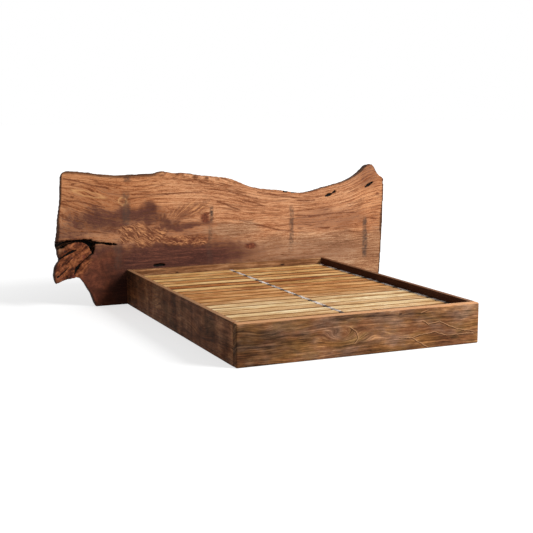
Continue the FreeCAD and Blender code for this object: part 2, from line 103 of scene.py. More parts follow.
class Shader:
    """A material's node tree, with short calls for the nodes that the finishes share."""

    def __init__(self, name):
        self.material = bpy.data.materials.new(name)
        self.material.use_nodes = True
        self.tree = self.material.node_tree
        self.surface = self.tree.nodes["Principled BSDF"]

    def feed(self, socket, value):
        if isinstance(value, bpy.types.NodeSocket):
            self.tree.links.new(value, socket)
        else:
            socket.default_value = value

    def node(self, kind, inputs=None, **settings):
        made = self.tree.nodes.new(kind)
        for key, setting in settings.items():
            setattr(made, key, setting)
        for key, value in (inputs or {}).items():
            self.feed(made.inputs[key], value)
        return made

    def math(self, operation, first, second=0.0, clamp=False):
        made = self.node("ShaderNodeMath", {0: first, 1: second}, operation=operation, use_clamp=clamp)
        return made.outputs[0]

    def times(self, first, second):
        return self.math("MULTIPLY", first, second)

    def vector(self, x, y, z):
        return self.node("ShaderNodeCombineXYZ", {0: x, 1: y, 2: z}).outputs[0]

    def axes(self, vector):
        return self.node("ShaderNodeSeparateXYZ", {0: vector}).outputs

    def aim(self, operation, first, second=(0.0, 0.0, 0.0), scale=1.0):
        inputs = {0: first, 1: second, 3: scale}
        return self.node("ShaderNodeVectorMath", inputs, operation=operation)

    def length(self, vector):
        return self.aim("LENGTH", vector).outputs["Value"]

    def place(self):
        """The point's own place on the object, in metres."""
        return self.node("ShaderNodeTexCoord").outputs["Object"]

    def attribute(self, name):
        return self.node("ShaderNodeAttribute", attribute_name=name)

    def mask(self, name):
        """A share from 0 to 1 that the mesh holds for each of its points."""
        return self.attribute(name).outputs["Fac"]

    def noise(self, vector, scale=1.0, detail=3.0, roughness=0.5):
        inputs = {"Vector": vector, "Scale": scale, "Detail": detail, "Roughness": roughness}
        return self.node("ShaderNodeTexNoise", inputs).outputs["Fac"]

    def stretched(self, places, scales, detail=3.0, roughness=0.5):
        """Noise over three places, each with a scale of its own."""
        parts = [self.times(place, scale) for place, scale in zip(places, scales)]
        return self.noise(self.vector(*parts), 1.0, detail, roughness)

    def centred(self, value, gain):
        """A noise value as a swing about zero."""
        return self.times(self.math("SUBTRACT", value, 0.5), gain)

    def veins(self, value, width):
        """Thin lines where a noise value passes its middle."""
        return self.spread(self.math("ABSOLUTE", self.math("SUBTRACT", value, 0.5)), width, width * 0.3)

    def total(self, *values):
        whole = values[0]
        for value in values[1:]:
            whole = self.math("ADD", whole, value)
        return whole

    def spread(self, value, low, high, to_low=0.0, to_high=1.0):
        inputs = {0: value, 1: low, 2: high, 3: to_low, 4: to_high}
        return self.node("ShaderNodeMapRange", inputs, interpolation_type="SMOOTHSTEP").outputs[0]

    def ramp(self, value, stops):
        made = self.node("ShaderNodeValToRGB", {0: value})
        elements = made.color_ramp.elements
        while len(elements) < len(stops):
            elements.new(0.5)
        for element, (position, colour) in zip(elements, stops):
            element.position = position
            element.color = colour
        return made.outputs[0]

    def blend(self, factor, first, second, mode="MIX"):
        made = self.node("ShaderNodeMix", data_type="RGBA", blend_type=mode)
        self.feed(made.inputs[0], factor)
        self.feed(made.inputs[6], first)
        self.feed(made.inputs[7], second)
        return made.outputs[2]

    def laid(self, colour, other, mask, share):
        """A colour with another laid over it, by a mask times a share."""
        return self.blend(self.times(mask, share), colour, other)

    def bump(self, height, strength, distance):
        inputs = {"Height": height, "Strength": strength, "Distance": distance}
        return self.node("ShaderNodeBump", inputs).outputs[0]

    def finish(self, **inputs):
        for key, value in inputs.items():
            self.feed(self.surface.inputs[key.replace("_", " ")], value)
        return self.material


# Woods of the rails, slats and inner framing

# Where a wood's four tones, from dark to pale, sit on the scale of its grain.
TONE_STOPS = (0.02, 0.36, 0.64, 0.98)
# How far apart the boards lie in the pattern that they are all cut from.
BOARD_SPACING = 3.7
# A loop in the grain is this many times as long as it is high.
LOOP_LENGTH = 2.6
KNOT_TONE = srgb(38, 22, 15)
# Distances from a split's line at which the split and the lip beside it start and are complete.
SPLIT_REACH = (0.0038, 0.0014)
LIP_REACH = (0.009, 0.003)


def split_masks(shader, spot, splits):
    """Masks of the painted shade in the cracks and of the painted highlight on the lip above each of them."""
    crack, lip = 0.0, 0.0
    for line in splits:
        for start, end in zip(line[:-1], line[1:]):
            run = Vector((end[0] - start[0], end[1] - start[1], 0.0))
            upward = Vector((-run.y, run.x, 0.0)).normalized()
            away = shader.aim("SUBTRACT", spot, (*start, 0.0)).outputs[0]
            share = shader.aim("DOT_PRODUCT", away, run / run.length_squared).outputs["Value"]
            held = shader.math("ADD", share, 0.0, clamp=True)
            nearest = shader.aim("SCALE", tuple(run), scale=held).outputs[0]
            distance = shader.length(shader.aim("SUBTRACT", away, nearest).outputs[0])
            above = shader.aim("DOT_PRODUCT", away, upward).outputs["Value"]
            beside = shader.spread(distance, *LIP_REACH)
            edge = shader.times(beside, shader.spread(above, 0.0, 0.003))
            crack = shader.math("MAXIMUM", crack, shader.spread(distance, *SPLIT_REACH))
            lip = shader.math("MAXIMUM", lip, edge)
    return crack, lip


def loop_fields(shader, run, z, loops):
    """How far the grain is lifted round the loops, and how dark the knots in their middle are."""
    lifted, dark = 0.0, 0.0
    for loop_run, height, half_size, lift, knot in loops:
        along = shader.math("DIVIDE", shader.math("SUBTRACT", run, loop_run), half_size * LOOP_LENGTH)
        up = shader.math("DIVIDE", shader.math("SUBTRACT", z, height), half_size)
        distance = shader.length(shader.vector(along, up, 0.0))
        near = shader.spread(distance, 1.6, 0.0)
        lifted = shader.total(lifted, shader.times(near, lift))
        dark = shader.math("MAXIMUM", dark, shader.spread(distance, 0.7, 0.2, 0.0, knot))
    return lifted, dark


def timber(name, along, tones, seed, figure=1.0, loops=(), bands_per_metre=40, blotches=0.4, patches=1.2,
           faces=(), darker=None, splits=(), tints=(), bars=0.0):
    """Sawn boards with their grain along X or Y, in four tones from dark to pale.

    Figure, blotches and patches are the strength of the grain, of small spots and of broad ones.
    Loops are (run, height, half size, lift of the grain, darkness of the knot).
    Faces are (axis, sign, colour, share): those along an axis, or both with sign 0, take that colour as
    painted light or shade.
    Splits are lines of points (run, height): cracks in painted shade, each with a painted highlight on its
    upper lip. Tints are colours of soft patches.
    Bars are the strength of broad marks across the board. Darker is the run over which it gets darker."""
    shader = Shader(name)
    x, y, z = shader.axes(shader.place())
    run, side = (x, y) if along == "X" else (y, x)
    far = shader.total(run, seed * BOARD_SPACING)
    across = shader.total(z, shader.times(side, 0.8))
    board = (far, across, side)
    sway = shader.stretched(board, (1.7, 4.0, 0.0), 3.0, 0.5)
    lifted, dark = loop_fields(shader, run, z, loops)
    bent = shader.total(across, shader.centred(sway, 0.060 * figure), lifted)
    grain = (far, bent, side)
    bands = shader.stretched(grain, (1.5, bands_per_metre, 9.0), 5.0, 0.68)
    lines = shader.stretched(grain, (6.0, bands_per_metre * 3.7, 30.0), 3.0, 0.65)
    pores = shader.stretched(grain, (26.0, bands_per_metre * 12, 90.0), 2.0, 0.6)
    clouds = shader.stretched(board, (2.3, 7.0, 2.0), 3.0, 0.6)
    mottle = shader.stretched(board, (14.0, 34.0, 8.0), 4.0, 0.65)
    tone = shader.total(shader.centred(bands, 1.5 * figure), shader.centred(lines, 1.5 * figure),
                        shader.centred(pores, 0.9), shader.centred(clouds, patches),
                        shader.centred(mottle, blotches), 0.5)
    if bars:
        marks = shader.stretched((far, z, side), (9.0, 1.5, 0.0), 3.0, 0.6)
        tone = shader.total(tone, shader.centred(marks, bars))
    if darker:
        tone = shader.math("SUBTRACT", tone, shader.spread(run, *darker, 0.0, 0.20))
    colour = shader.ramp(tone, list(zip(TONE_STOPS, tones)))
    for order, tint in enumerate(tints):
        apart = (far, bent, shader.total(side, order))
        patch = shader.stretched(apart, (5.0, 11.0, 3.0), 3.0, 0.6)
        colour = shader.blend(shader.spread(patch, 0.42, 0.68, 0.0, 0.70), colour, tint, "COLOR")
    veins = shader.veins(shader.stretched(grain, (1.4, bands_per_metre * 0.8, 9.0)), 0.03)
    colour = shader.laid(colour, tones[0], veins, shader.spread(lines, 0.40, 0.58, 0.0, 0.7))
    if loops:
        colour = shader.blend(dark, colour, KNOT_TONE)
    if splits:
        jagged = shader.stretched((far, z, side), (30.0, 30.0, 0.0), 3.0, 0.6)
        spot = shader.vector(run, shader.total(z, shader.centred(jagged, 0.016)), 0.0)
        crack, lip = split_masks(shader, spot, splits)
        # A painted highlight on the lip above each split, then painted shade in the crack.
        colour = shader.laid(colour, tones[3], lip, 0.75)
        colour = shader.laid(colour, tones[0], crack, 0.85)
    # Painted light and shade, by the way each face points.
    for axis, sign, face_colour, share in faces:
        facing = shader.axes(shader.node("ShaderNodeNewGeometry").outputs["Normal"])[axis]
        facing = shader.times(facing, sign) if sign else shader.math("ABSOLUTE", facing)
        colour = shader.blend(shader.spread(facing, 0.35, 0.85, 0.0, share), colour, face_colour)
    height = shader.total(shader.times(lines, 0.6), shader.times(pores, 0.4))
    return shader.finish(Base_Color=colour, Roughness=shader.spread(tone, 0.0, 1.0, 0.72, 0.55),
                         Specular_IOR_Level=0.07, Normal=shader.bump(height, 0.35, 0.002))


def steel():
    shader = Shader("zinc_plated_steel")
    cloud = shader.noise(shader.place(), 180.0, 3.0, 0.6)
    colour = shader.ramp(cloud, [(0.3, srgb(118, 119, 122)), (0.7, srgb(176, 177, 180))])
    rough = shader.spread(cloud, 0.3, 0.7, 0.45, 0.3)
    return shader.finish(Base_Color=colour, Roughness=rough, Metallic=1.0,
                         Normal=shader.bump(cloud, 0.1, 0.0005))


def blued_steel():
    shader = Shader("blued_steel")
    cloud = shader.noise(shader.place(), 300.0, 3.0, 0.6)
    colour = shader.ramp(cloud, [(0.3, srgb(30, 30, 34)), (0.7, srgb(62, 61, 66))])
    return shader.finish(Base_Color=colour, Roughness=0.5, Metallic=0.6,
                         Normal=shader.bump(cloud, 0.1, 0.0005))


def pad_plastic():
    shader = Shader("moulded_plastic")
    grain = shader.noise(shader.place(), 900.0, 2.0, 0.6)
    colour = shader.ramp(grain, [(0.3, srgb(24, 24, 26)), (0.7, srgb(40, 40, 43))])
    return shader.finish(Base_Color=colour, Roughness=0.6, Normal=shader.bump(grain, 0.2, 0.0004))


SHARP_CORNER = math.radians(50)
WORN_VOXEL = 0.005
WORN_ROUNDS = 12


def dress(nodes, material, bevel=0.0):
    """Give CAD nodes a finish and, if asked, a bevel on their sharp corners."""
    for name in nodes:
        piece = NODES[name]
        piece.data.materials.clear()
        piece.data.materials.append(material)
        if bevel:
            softer = piece.modifiers.new("softer corners", "BEVEL")
            softer.width = bevel
            softer.segments = 3
            softer.limit_method = "ANGLE"
            softer.angle_limit = SHARP_CORNER


def wear_corners(node):
    """Rounder corners on a CAD board, as if rubbed by years of use."""
    piece = NODES[node]
    piece.modifiers.new("joined facets", "WELD").merge_threshold = 1e-5
    even = piece.modifiers.new("even mesh", "REMESH")
    even.mode = "VOXEL"
    even.voxel_size = WORN_VOXEL
    even.use_smooth_shade = True
    rubbed = piece.modifiers.new("rubbed corners", "SMOOTH")
    rubbed.factor = 0.5
    rubbed.iterations = WORN_ROUNDS


# Headboard slab: the CAD board remeshed finely, then worn and split the way the natural board is
SLAB_VOXEL = 0.005
SLAB_FACE = SLAB_LOW.y
# Steps at which the board's edges are found. The columns at its ends take the height beside them.
TOP_COLUMNS = 260
END_COLUMNS = 12
TOP_WINDOW = 25
END_ROWS = 100
# Just above the floor, between these heights, the wear and the bark come in.
ABOVE_FLOOR = (0.006, 0.03)

# Bumps of the live edge: height, wavelength and seed. On the whole the edge loses a little wood.
EDGE_BUMPS = [(0.0024, 0.090, 1), (0.0016, 0.034, 2), (0.0008, 0.015, 3)]
EDGE_LOSS = 0.0018
# Small knobs along the top: how high they are, and x where they come in and fade out.
KNOB_HEIGHT = 0.012
KNOBS_START = (-0.60, -0.50)
KNOBS_END = (0.16, 0.06)
# How the borders between woods wander, along the board and up: height, wavelength and seed.
FRAYED_ALONG = [(0.055, 0.26, 21), (0.025, 0.09, 22)]
FRAYED_UP = [(0.022, 0.20, 23), (0.009, 0.06, 24)]

# Cracks, checks and folds in the slab's face: points (x, z, width), then depth.
GROOVES = [
    ([(-1.345, 0.452, 0.052), (-1.281, 0.463, 0.050), (-1.243, 0.478, 0.032), (-1.180, 0.486, 0.015),
      (-1.116, 0.485, 0.022), (-1.075, 0.474, 0.036)], 0.030),
    ([(-1.075, 0.474, 0.036), (-1.060, 0.450, 0.036), (-1.057, 0.420, 0.026), (-1.058, 0.392, 0.014)], 0.028),
    ([(-1.060, 0.468, 0.024), (-1.006, 0.463, 0.013), (-0.951, 0.456, 0.012), (-0.905, 0.449, 0.014),
      (-0.882, 0.445, 0.008)], 0.024),
    ([(-1.060, 0.390, 0.012), (-1.087, 0.373, 0.008), (-1.120, 0.348, 0.005), (-1.148, 0.325, 0.007),
      (-1.172, 0.299, 0.021), (-1.186, 0.273, 0.019), (-1.198, 0.252, 0.008)], 0.014),
    ([(-1.315, 0.356, 0.010), (-1.269, 0.384, 0.010), (-1.232, 0.403, 0.017), (-1.209, 0.413, 0.019),
      (-1.182, 0.421, 0.008)], 0.012),
    ([(-1.240, 0.300, 0.006), (-1.285, 0.262, 0.008), (-1.320, 0.232, 0.008)], 0.005),
    ([(0.824, 0.738, 0.012), (0.848, 0.746, 0.026), (0.874, 0.755, 0.010)], 0.014),
    ([(0.882, 0.760, 0.010), (0.906, 0.774, 0.018)], 0.010),
    ([(1.180, 0.800, 0.012), (1.213, 0.819, 0.020), (1.245, 0.836, 0.010)], 0.014),
    ([(-0.594, 0.272, 0.014), (-0.552, 0.275, 0.021), (-0.520, 0.274, 0.014)], 0.014),
    ([(0.462, 0.788, 0.014), (0.482, 0.787, 0.014)], 0.012),
    ([(0.532, 0.780, 0.012), (0.548, 0.779, 0.012)], 0.012),
]
DEEPEST_CRACK = 0.048
BURL_CENTRE = np.array([-1.205, 0.345])
BURL_REACH = np.array([0.190, 0.125])
BURL_TILT = math.radians(52)
BURL_LAY = math.radians(38)
BURL_RISE = 0.016

# Dark heartwood: centre and half size (x, z), then strength.
HEART_PATCHES = [
    ((-0.985, 0.628), (0.31, 0.115), 0.80),
    ((-0.640, 0.685), (0.11, 0.070), 0.85),
    ((-0.545, 0.600), (0.08, 0.080), 0.82),
    ((-0.720, 0.645), (0.26, 0.095), 0.78),
    ((-0.440, 0.560), (0.14, 0.052), 0.84),
    ((-0.290, 0.570), (0.15, 0.036), 0.80),
    ((-0.490, 0.330), (0.74, 0.138), 1.12),
    ((-0.960, 0.370), (0.26, 0.110), 0.90),
    ((0.110, 0.385), (0.14, 0.050), 0.58),
    # The next patch is darker than its heartwood alone, to paint in part of the left rail's shadow too.
    ((-1.000, 0.130), (0.52, 0.340), 1.05),
    ((-1.220, 0.540), (0.24, 0.120), 0.55),
    ((-0.560, 0.510), (0.52, 0.180), 0.36),
    ((-1.000, 0.780), (0.44, 0.150), 0.28),
    ((-1.080, 0.900), (0.30, 0.080), 0.12),
    ((0.750, 0.300), (0.80, 0.120), 0.26),
    ((0.850, 0.560), (0.42, 0.110), 0.40),
    ((1.200, 0.900), (0.18, 0.140), 0.42),
    ((1.200, 0.985), (0.24, 0.085), 0.60),
    ((1.290, 0.500), (0.09, 0.320), 0.22),
]
# Grey marks left by drying sticks: x, lowest and highest z, half width, strength.
STICK_MARKS = [
    (-0.803, 0.580, 0.835, 0.027, 0.62),
    (-0.872, 0.260, 0.450, 0.026, 0.50),
    (-0.138, 0.575, 0.700, 0.012, 0.95),
    (-0.150, 0.420, 0.560, 0.014, 0.45),
    (0.526, 0.370, 0.675, 0.017, 0.72),
    (1.180, 0.235, 0.560, 0.018, 0.85),
    (-0.790, 0.900, 0.950, 0.022, 0.80),
    (-0.160, 0.260, 0.420, 0.020, 0.30),
    (0.520, 0.300, 0.440, 0.020, 0.25),
]
# The boldest lines and pores of the sapwood: points (x, z, width).
GRAIN_MARKS = [
    [(0.090, 0.584, 0.010), (0.250, 0.537, 0.012), (0.420, 0.490, 0.012), (0.516, 0.480, 0.008)],
    [(0.000, 0.805, 0.009), (0.115, 0.773, 0.011), (0.240, 0.740, 0.008)],
    [(-0.090, 0.733, 0.009), (0.012, 0.691, 0.011), (0.094, 0.659, 0.008)],
    [(0.115, 0.730, 0.008), (0.219, 0.707, 0.011), (0.302, 0.679, 0.008)],
    [(0.240, 0.788, 0.010), (0.345, 0.774, 0.013), (0.430, 0.752, 0.011), (0.558, 0.738, 0.010)],
    [(0.579, 0.716, 0.012), (0.644, 0.710, 0.015), (0.726, 0.712, 0.012)],
    [(0.558, 0.601, 0.009), (0.700, 0.585, 0.011), (0.820, 0.595, 0.010), (0.954, 0.604, 0.011),
     (1.100, 0.598, 0.008)],
    [(0.766, 0.493, 0.008), (0.849, 0.486, 0.014), (0.862, 0.491, 0.010)],
    [(1.220, 0.416, 0.016), (1.239, 0.415, 0.016)],
    [(1.281, 0.740, 0.014), (1.304, 0.743, 0.014)],
    [(-1.257, 0.936, 0.009), (-1.159, 0.915, 0.011), (-1.042, 0.880, 0.011), (-0.932, 0.859, 0.008)],
    [(-1.271, 0.777, 0.009), (-1.163, 0.773, 0.010), (-1.046, 0.741, 0.011), (-0.963, 0.720, 0.008)],
    [(-0.756, 0.808, 0.008), (-0.604, 0.798, 0.010), (-0.410, 0.805, 0.010), (-0.213, 0.808, 0.008)],
    [(-1.200, 0.894, 0.014), (-1.185, 0.894, 0.014)],
    [(-1.207, 0.808, 0.012), (-1.189, 0.802, 0.012)],
]
# Knots and eyes that the grain bends round: centre, half size and lift of the grain.
KNOTS = [
    ((-0.181, 0.609), (0.055, 0.045), 0.030), ((0.176, 0.380), (0.050, 0.035), 0.030),
    ((-1.078, 0.816), (0.150, 0.030), 0.012), ((-0.826, 0.760), (0.070, 0.032), 0.016),
    ((0.720, 0.560), (0.190, 0.030), 0.008), ((0.180, 0.700), (0.170, 0.028), 0.008),
]
# Pale loops in the sapwood: centre, half size and tilt. Their rings are a share of that size wide.
EYES = [
    ((-1.080, 0.822), (0.112, 0.017), math.radians(-14)),
    ((-0.826, 0.760), (0.030, 0.025), math.radians(-30)),
]
EYE_WIDTH = 0.22
# The grain near the top follows the live edge, as far as that leaves its usual height.
USUAL_TOP = 0.90
# At the left end the grain falls by this slope. It levels out where the lean starts, over a soft bend.
LEAN = 0.22
LEAN_START = -0.85
LEAN_BEND = 0.06
# Red rings of two small knots: centre and half size.
RED_KNOTS = [((-0.190, 0.612), (0.040, 0.040)), ((0.182, 0.380), (0.052, 0.026))]
# Crotch figure: strands that all follow one line (x, z) and cover some ovals (centre, half size and tilt),
# and above them strands that fan out from a root.
COMB_LINE = [(-1.000, 0.660), (-0.900, 0.640), (-0.800, 0.590), (-0.700, 0.525), (-0.600, 0.470),
             (-0.500, 0.435), (-0.400, 0.420), (-0.250, 0.412), (-0.050, 0.405)]
COMB_COLUMNS = 240
COMB_WINDOW = 29
COMBED = [((-0.695, 0.508), (0.200, 0.080), math.radians(-4)),
          ((-0.370, 0.448), (0.240, 0.036), math.radians(-4))]
FAN_ROOT = (-0.530, 0.545)
FAN = ((-0.335, 0.668), (0.200, 0.058), math.radians(14))
# A grey part in the middle and a painted shadow of the left rail at the lower left: centre and half size.
GREY_OVAL = ((0.03, 0.505), (0.24, 0.075))
SHADED_OVAL = ((-0.84, 0.05), (0.22, 0.24))


def carved(points, line):
    """1 along a broken line, whose points are (x, z, width), and 0 where its width ends."""
    deepest = np.zeros(len(points))
    for start, end in zip(np.array(line[:-1]), np.array(line[1:])):
        run = (end - start)[:2]
        share = np.clip((points - start[:2]) @ run / (run @ run), 0, 1)
        gap = np.linalg.norm(points - start[:2] - share[:, None] * run, axis=1)
        width = start[2] + share * (end[2] - start[2])
        deepest = np.maximum(deepest, smooth(gap / width, 0.75, 0.2))
    return deepest


def turned_back(angle):
    """A matrix that turns flat points back by an angle."""
    return np.array([[math.cos(angle), -math.sin(angle)], [math.sin(angle), math.cos(angle)]])


def oval(points, centre, half_size, tilt=0.0):
    """0 at the centre of an oval and 1 on its edge."""
    return np.linalg.norm((points - np.array(centre)) @ turned_back(tilt) / np.array(half_size), axis=1)


def furthest(keys, values, grid):
    """The largest of the values near each step of an even grid of keys."""
    found = np.full(len(grid), -np.inf)
    np.maximum.at(found, np.clip(np.searchsorted(grid, keys), 0, len(grid) - 1), values)
    return found


def evened(values, window):
    """The running mean of values over an odd window."""
    return np.convolve(np.pad(values, window // 2, mode="edge"), np.ones(window) / window, mode="valid")


def remeshed(node, name, voxel):
    """A copy of a CAD node as an even fine mesh."""
    mesh = NODES[node].data.copy()
    welded = bmesh.new()
    welded.from_mesh(mesh)
    bmesh.ops.remove_doubles(welded, verts=welded.verts, dist=1e-6)
    welded.to_mesh(mesh)
    welded.free()
    rough = placed(name, mesh)
    remesh = rough.modifiers.new("remesh", "REMESH")
    remesh.mode = "VOXEL"
    remesh.voxel_size = voxel
    shaped = rough.evaluated_get(bpy.context.evaluated_depsgraph_get())
    rough.data = bpy.data.meshes.new_from_object(shaped)
    rough.modifiers.clear()
    return rough


def vertex_rows(mesh, kind):
    """The place (co) or the normal of each vertex, as a row of three numbers."""
    numbers = np.empty(len(mesh.vertices) * 3)
    mesh.vertices.foreach_get(kind, numbers)
    return numbers.reshape(-1, 3)


def top_edge(flat):
    """Columns along the board, with the height of its live edge in each of them."""
    columns = np.linspace(SLAB_LOW.x, SLAB_HIGH.x, TOP_COLUMNS)
    heights = furthest(flat[:, 0], flat[:, 1], columns)
    heights[:END_COLUMNS] = heights[END_COLUMNS]
    heights[-END_COLUMNS:] = heights[-END_COLUMNS - 1]
    return columns, heights


def worn_edge(places, normals, facing, rim, below_top):
    """How far the live edge moves: bumps all round and knobs along the top. Also the knobs' heights."""
    shift = normals * (rim * (ripples(places, EDGE_BUMPS) - EDGE_LOSS))[:, None]
    x = places[:, 0]
    knobbed = smooth(x, *KNOBS_START) * smooth(x, *KNOBS_END) * smooth(-below_top, -0.075, -0.01)
    knob = np.maximum(ripple(places * [1, 1.4, 1.4], 0.060, 4), 0) * KNOB_HEIGHT * knobbed
    knob *= smooth(normals[:, 1], 0.5, 0.0)
    level = [1, 1, 0]
    shift += normals * (knob * np.clip(1 - 0.9 * facing, 0.35, 1))[:, None] * level
    shift[:, 1] -= knob * facing * 0.8
    return shift, knob


def worn_face(places, flat, wander, facing, burl):
    """How far the face moves: hand flattened, swollen by the burl and cut. Also where it is cut."""
    lumps = 0.55 + ripples(flat, [(0.30, 0.075, 6), (0.15, 0.030, 7)])
    cuts = [facing * carved(wander, line) for line, _ in GROOVES]
    sunk = np.max([cut * depth for cut, (_, depth) in zip(cuts, GROOVES)], axis=0)
    room = np.maximum(SLAB_FACE + DEEPEST_CRACK - places[:, 1], 0)
    flattened = facing * 0.0007 * ripple(flat, 0.16, 5)
    return flattened - facing * burl * BURL_RISE * lumps + np.minimum(sunk, room), np.max(cuts, axis=0)


def dark_rim_mask(rim, places, flat, below_top):
    """Where the board is dark: bark on its rim, and dark bands on the face along both ends and along the top.
    """
    x, z = flat.T
    rows = np.linspace(0, SLAB_HIGH.z, END_ROWS)
    left_edge = np.interp(z, rows, -furthest(z, -x, rows))
    right_edge = np.interp(z, rows, furthest(z, x, rows))
    inward = np.minimum(x - left_edge, right_edge - x)
    band = 0.014 + 0.016 * smooth(z, 0.72, 0.52) * smooth(z, 0.40, 0.46)
    ends = smooth(inward / band, 1.0, 0.55) * smooth(places[:, 2], *ABOVE_FLOOR)
    climbing = smooth(x, 0.66, 0.78) * smooth(x, 1.20, 1.14)
    leftmost = smooth(x, -0.45, -0.60)
    back = smooth(places[:, 1] - SLAB_FACE, 0.015, 0.045)
    sides = np.maximum(rim, 0.9 * ends) * (1 - climbing * (1 - back))
    reach = 0.014 - 0.004 * climbing + 0.016 * leftmost
    top = smooth(below_top / reach, 1.0, 0.3) * (0.30 + 0.20 * climbing + 0.55 * leftmost)
    return np.maximum(sides, top)


def heart_mask(flat, frayed, knob):
    """Where the wood is dark heart, with upright streaks at the left. The knobs are dark too."""
    patches = [strength * smooth(oval(frayed, centre, half_size), 1.45, 0.30)
               for centre, half_size, strength in HEART_PATCHES]
    streaks = ripple(flat * [1, 0.2], 0.06, 26) * smooth(flat[:, 0], -0.30, -0.50)
    heart = np.max(patches, axis=0) * (1 + 0.09 * streaks)
    return np.maximum(heart, 0.60 * smooth(knob, 0.002, 0.010))


def stick_mask(flat, frayed):
    """The grey marks of the drying sticks, with soft sides and ends."""
    x, z = flat.T
    wavy = frayed[:, 0] * 0.10 + x * 0.90
    marks = []
    for middle, low, high, half_width, strength in STICK_MARKS:
        bar = smooth(np.abs(wavy - middle), half_width * 1.6, half_width * 0.5)
        ends = smooth(z, low - 0.02, low + 0.03) * smooth(z, high + 0.02, high - 0.03)
        marks.append(strength * bar * ends)
    return np.max(marks, axis=0)


def eye_mask(flat):
    """The rings of the pale loops."""
    wavy = flat + 0.003 * ripple(flat, 0.05, 25)[:, None]
    return np.max([np.exp(-((oval(wavy, *eye) - 1) / EYE_WIDTH) ** 2) for eye in EYES], axis=0)


def region_masks(flat, frayed):
    """Soft parts of the board where its wood is porous, warm, grey or russet, and a painted shadow at the
    lower left.
    """
    x, z = frayed.T
    warm = smooth(x, -0.20, -0.80) * smooth(z, 0.62, 0.74)
    grey = smooth(flat[:, 0], -0.35, 0.30) * smooth(z, 0.50, 0.40)
    return {"porous": smooth(x, 0.55, 0.95) * smooth(z, 0.46, 0.62),
            "warm": np.maximum(warm, 0.6 * smooth(x, 1.00, 1.20)),
            "grey": np.maximum(grey, smooth(oval(frayed, *GREY_OVAL), 1.3, 0.5)),
            "shade": smooth(oval(frayed, *SHADED_OVAL), 1.3, 0.4),
            "russet": smooth(x, -0.80, -0.95) * smooth(z, 0.44, 0.34)}


def board_grain(flat, depth, top):
    """Coordinates along the grain, across it and through the board. Near the top it follows the live edge."""
    x, z = flat.T
    across = z - 0.95 * smooth(z, 0.40, 0.92) * (top - USUAL_TOP)
    leaning = LEAN_BEND * np.logaddexp(0, (LEAN_START - x) / LEAN_BEND)
    across -= LEAN * leaning * smooth(z, 0.48, 0.78) * smooth(z, 0.98, 0.86)
    across += 0.006 * ripple(flat * [1, 2.2], 0.42, 11) + 0.0015 * ripple(flat * [1, 3], 0.13, 12)
    for centre, half_size, lift in KNOTS:
        across += lift * np.exp(-oval(flat, centre, half_size) ** 2)
    return np.column_stack([x, across, depth])


def figure_grain(flat, depth):
    """Coordinates of the crotch figure and the burl, with the share of the figure at each point."""
    x, z = flat.T
    frayed = ripples(flat, [(0.22, 0.10, 14), (0.16, 0.028, 17)])
    waving = ripples(flat, [(0.011, 0.08, 13), (0.005, 0.03, 15)])
    combed = np.max([smooth(oval(flat, *patch) + frayed, 1.15, 0.75) for patch in COMBED], axis=0)
    line = np.array(COMB_LINE)
    columns = np.linspace(line[0, 0], line[-1, 0], COMB_COLUMNS)
    rise = evened(np.interp(columns, *line.T), COMB_WINDOW)
    along = combed * 3.6 * x
    across = combed * (0.92 * (z - np.interp(x, columns, rise)) + waving)
    away = flat - np.array(FAN_ROOT)
    angle = np.arctan2(away[:, 1], away[:, 0]) % (2 * math.pi)
    fanned = smooth(oval(flat, *FAN) + frayed, 1.20, 0.50) * (1 - combed)
    along += fanned * 2.4 * np.linalg.norm(away, axis=1)
    across += fanned * (angle * 0.28 + 0.4 * waving)
    laid = (flat - BURL_CENTRE) @ turned_back(BURL_LAY)
    swell = smooth(oval(flat, BURL_CENTRE, BURL_REACH, BURL_TILT), 1.3, 1.1)
    along += swell * 3.0 * laid[:, 0]
    across += swell * (laid[:, 1] + 0.012 * ripple(flat, 0.08, 16))
    weights = combed + fanned + swell + 1e-6
    return np.column_stack([along / weights, across / weights, depth]), np.maximum(combed, 0.8 * fanned)


